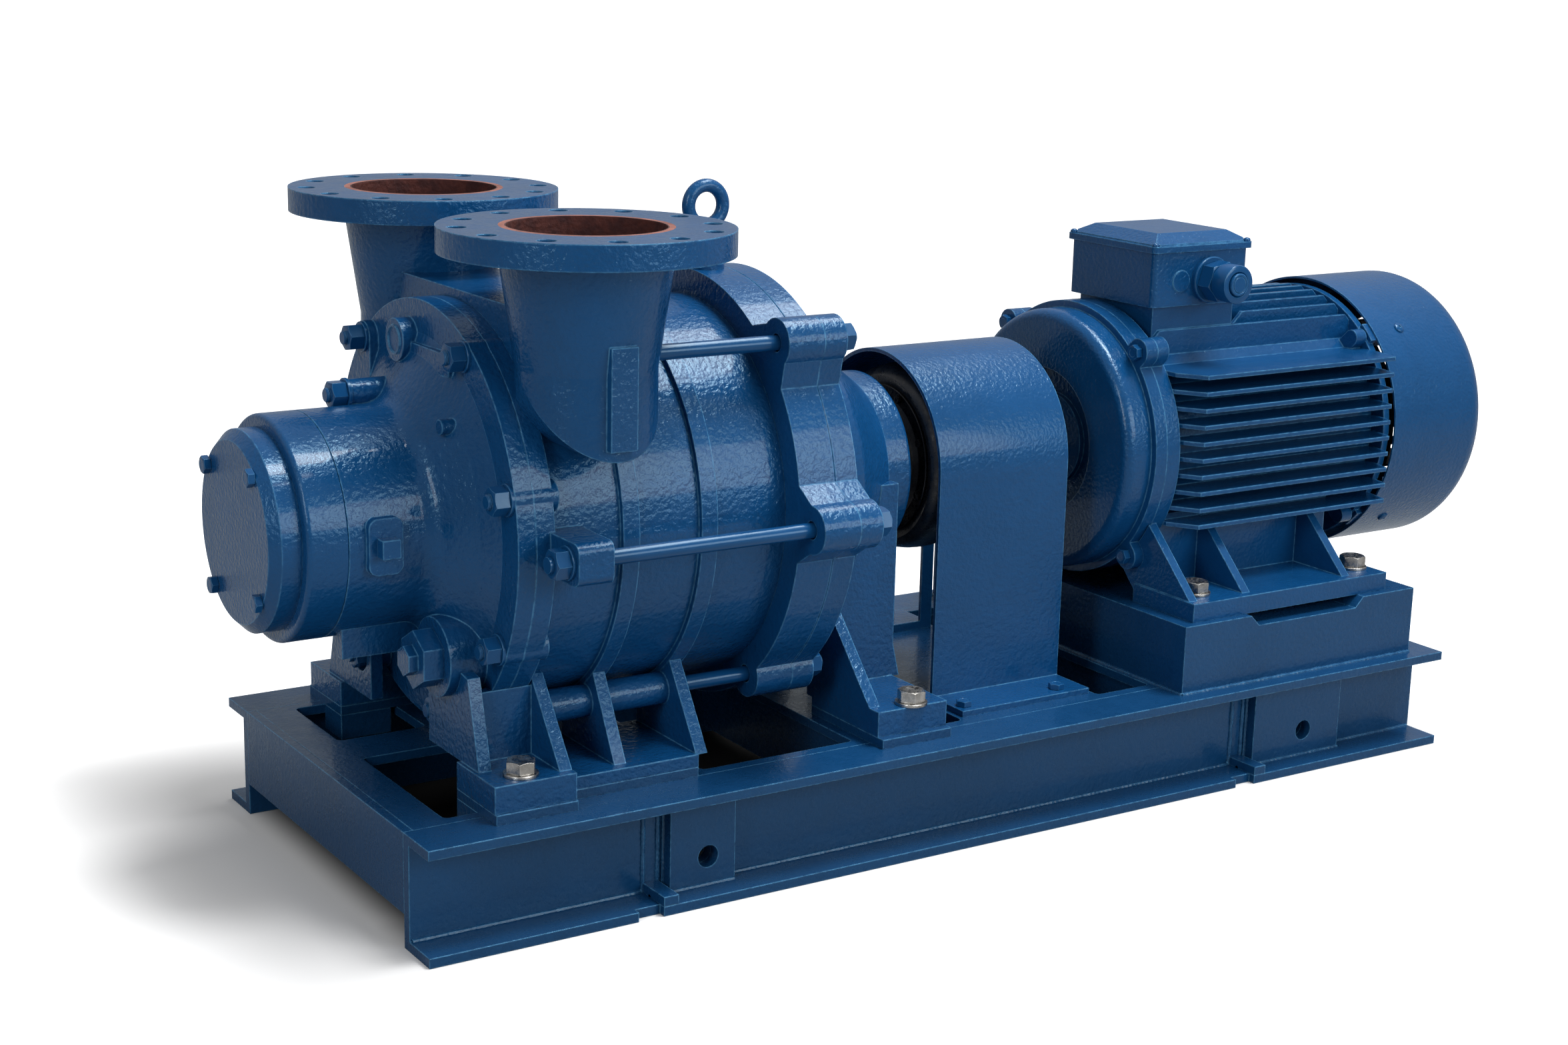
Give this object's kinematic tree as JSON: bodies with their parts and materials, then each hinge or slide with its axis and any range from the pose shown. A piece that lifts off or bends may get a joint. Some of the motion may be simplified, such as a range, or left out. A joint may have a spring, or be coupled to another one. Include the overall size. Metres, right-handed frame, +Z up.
{
  "type": "liquid ring vacuum pump",
  "caption": "Liquid ring vacuum pump with two upright flanged branches, driven through a guarded flexible coupling by a fan-cooled motor on a welded base frame.",
  "frame": {"origin": "on the floor, under the middle of the whole set", "axes": "+X along the shaft from pump to motor, +Y away from the side with the cable gland, +Z up"},
  "size_m": [1.89, 0.778, 0.8315],
  "materials": {
    "blue_enamel": "semi-gloss",
    "bolt_steel": "bare",
    "shaft_steel": "ground",
    "bearing_steel": "polished",
    "cast_iron": "as cast",
    "rubber": "satin",
    "packing": "braided",
    "fan_plastic": "matt"
  },
  "bodies": {
    "frame_and_casings": {"near_side_beam": "blue_enamel", "far_side_beam": "blue_enamel", "lifting_plates": "blue_enamel", "end_plates": "blue_enamel", "deck_plate": "blue_enamel", "cross_members": "blue_enamel", "foot_brackets": "blue_enamel", "pump_foot_pads": "blue_enamel", "motor_pedestal": "blue_enamel", "pump_foot_bolts": "bolt_steel", "motor_foot_bolts": "bolt_steel", "front_end_cap": "blue_enamel", "end_cap_bolts": "blue_enamel", "front_bearing_carrier": "blue_enamel", "front_cover": "blue_enamel", "cover_bolts": "blue_enamel", "side_plug": "blue_enamel", "drain_plug": "blue_enamel", "pump_casing": "blue_enamel", "branch_saddle": "blue_enamel", "suction_branch": "blue_enamel", "discharge_branch": "blue_enamel", "rear_plate": "blue_enamel", "rear_cover": "blue_enamel", "tie_rods": "blue_enamel", "tie_rod_nuts": "blue_enamel", "lifting_eye": "blue_enamel", "front_feet": "blue_enamel", "casing_feet": "blue_enamel", "rear_stand": "blue_enamel", "port_plates": "cast_iron", "packing_rings": "packing", "pump_bearing_outer_rings": "bearing_steel", "coupling_guard": "blue_enamel", "guard_bolts": "blue_enamel", "motor_frame": "blue_enamel", "drive_end_shield": "blue_enamel", "non_drive_end_shield": "blue_enamel", "shield_bolts": "blue_enamel", "stator_core": "cast_iron", "motor_bearing_outer_rings": "bearing_steel", "fan_cowl": "blue_enamel", "cowl_screws": "blue_enamel", "terminal_box": "blue_enamel", "terminal_box_lid": "blue_enamel", "lid_screws": "blue_enamel", "cable_gland": "blue_enamel", "gland_plug": "blue_enamel"},
    "pump_rotor": {"pump_shaft": "shaft_steel", "impeller": "cast_iron", "pump_coupling_hub": "cast_iron", "coupling_tyre": "rubber", "pump_bearing_inner_rings": "bearing_steel"},
    "motor_rotor": {"motor_shaft": "shaft_steel", "rotor_core": "cast_iron", "cooling_fan": "fan_plastic", "motor_coupling_hub": "cast_iron", "motor_bearing_inner_rings": "bearing_steel"},
    "pump_bearing_cages": {"pump_bearing_cages": "bearing_steel"},
    "motor_bearing_cages": {"motor_bearing_cages": "bearing_steel"}
  },
  "joints": [
    {"name": "pump_spin", "type": "hinge", "parent": "frame_and_casings", "child": "pump_rotor", "pos_m": [-0.498, 0, 0.445], "axis": [1, 0, 0], "continuous": true},
    {"name": "motor_spin", "type": "hinge", "parent": "frame_and_casings", "child": "motor_rotor", "pos_m": [0.522, 0, 0.445], "axis": [1, 0, 0], "continuous": true},
    {"name": "pump_bearing_spin", "type": "hinge", "parent": "frame_and_casings", "child": "pump_bearing_cages", "pos_m": [-0.498, 0, 0.445], "axis": [1, 0, 0], "continuous": true},
    {"name": "motor_bearing_spin", "type": "hinge", "parent": "frame_and_casings", "child": "motor_bearing_cages", "pos_m": [0.522, 0, 0.445], "axis": [1, 0, 0], "continuous": true}
  ],
  "couplings": [
    {"joint": "pump_spin", "follows": "motor_spin", "ratio": 1},
    {"joint": "pump_bearing_spin", "follows": "motor_spin", "ratio": 0.4049},
    {"joint": "motor_bearing_spin", "follows": "motor_spin", "ratio": 0.4105}
  ]
}
